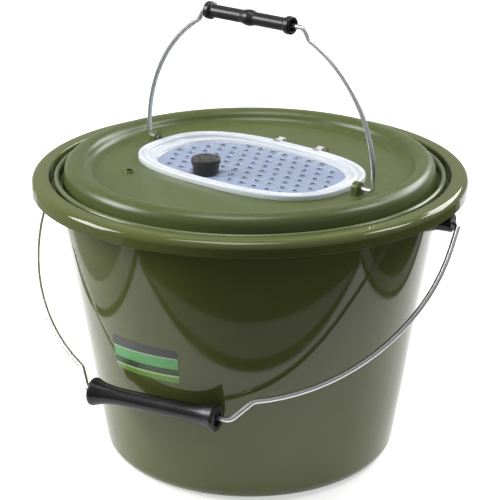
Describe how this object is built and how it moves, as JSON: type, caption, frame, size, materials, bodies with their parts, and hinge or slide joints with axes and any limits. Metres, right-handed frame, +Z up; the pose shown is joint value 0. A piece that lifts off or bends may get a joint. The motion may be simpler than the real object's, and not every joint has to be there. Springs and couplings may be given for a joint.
{
  "type": "live bait bucket",
  "caption": "Tapered bucket with a swinging bail, a perforated basket hung in its rim, and a domed lid with its own handle, a hinged vented hatch and a bung.",
  "frame": {"origin": "centre of the ring foot, on the surface the bucket stands on", "axes": "+Z up along the bucket's axis; X along the bail's pivot line; the bail hangs on the -Y side"},
  "size_m": [0.3666, 0.3558, 0.3743],
  "materials": {
    "green_plastic": "glossy moulded",
    "basket_plastic": "glossy moulded",
    "hatch_plastic": "milky translucent",
    "black_plastic": "satin moulded",
    "bung_rubber": "matt",
    "wire_steel": "bright drawn wire"
  },
  "bodies": {
    "bucket": {"outer_bucket": "green_plastic", "right_bail_lug": "black_plastic", "left_bail_lug": "black_plastic"},
    "bail": {"bail_wire": "wire_steel"},
    "bail_grip": {"bail_grip": "black_plastic"},
    "basket": {"sieve_basket": "basket_plastic"},
    "lid": {"lid": "green_plastic", "right_hinge_pin": "wire_steel", "left_hinge_pin": "wire_steel"},
    "hatch": {"hatch": "hatch_plastic"},
    "bung": {"bung": "bung_rubber"},
    "lid_handle": {"lid_handle_wire": "wire_steel"},
    "lid_grip": {"lid_handle_grip": "black_plastic"}
  },
  "joints": [
    {"name": "bail_swing", "type": "hinge", "parent": "bucket", "child": "bail", "pos_m": [0, 0, 0.222], "axis": [-1, 0, 0], "range_deg": [0, 267.54]},
    {"name": "bail_grip_spin", "type": "hinge", "parent": "bail", "child": "bail_grip", "pos_m": [-0.0145, -0.14154, 0.08641], "axis": [1, 0, 0], "continuous": true},
    {"name": "basket_lift", "type": "slide", "parent": "bucket", "child": "basket", "axis": [0, 0, 1], "range_m": [0, 0.2]},
    {"name": "lid_lift", "type": "slide", "parent": "basket", "child": "lid", "axis": [0, 0, 1], "range_m": [0, 0.06]},
    {"name": "hatch_swing", "type": "hinge", "parent": "lid", "child": "hatch", "pos_m": [0.01631, 0.0654, 0.2461], "axis": [-0.9703, 0.2419, 0], "range_deg": [0, 38]},
    {"name": "bung_pull", "type": "slide", "parent": "hatch", "child": "bung", "axis": [0, 0, 1], "range_m": [0, 0.015]},
    {"name": "lid_handle_swing", "type": "hinge", "parent": "lid", "child": "lid_handle", "pos_m": [0, 0, 0.2486], "axis": [0.9703, -0.2419, 0], "range_deg": [-88, 88]},
    {"name": "lid_grip_spin", "type": "hinge", "parent": "lid_handle", "child": "lid_grip", "pos_m": [-0.00049, 0.00012, 0.3671], "axis": [0.9703, -0.2419, 0], "continuous": true}
  ]
}
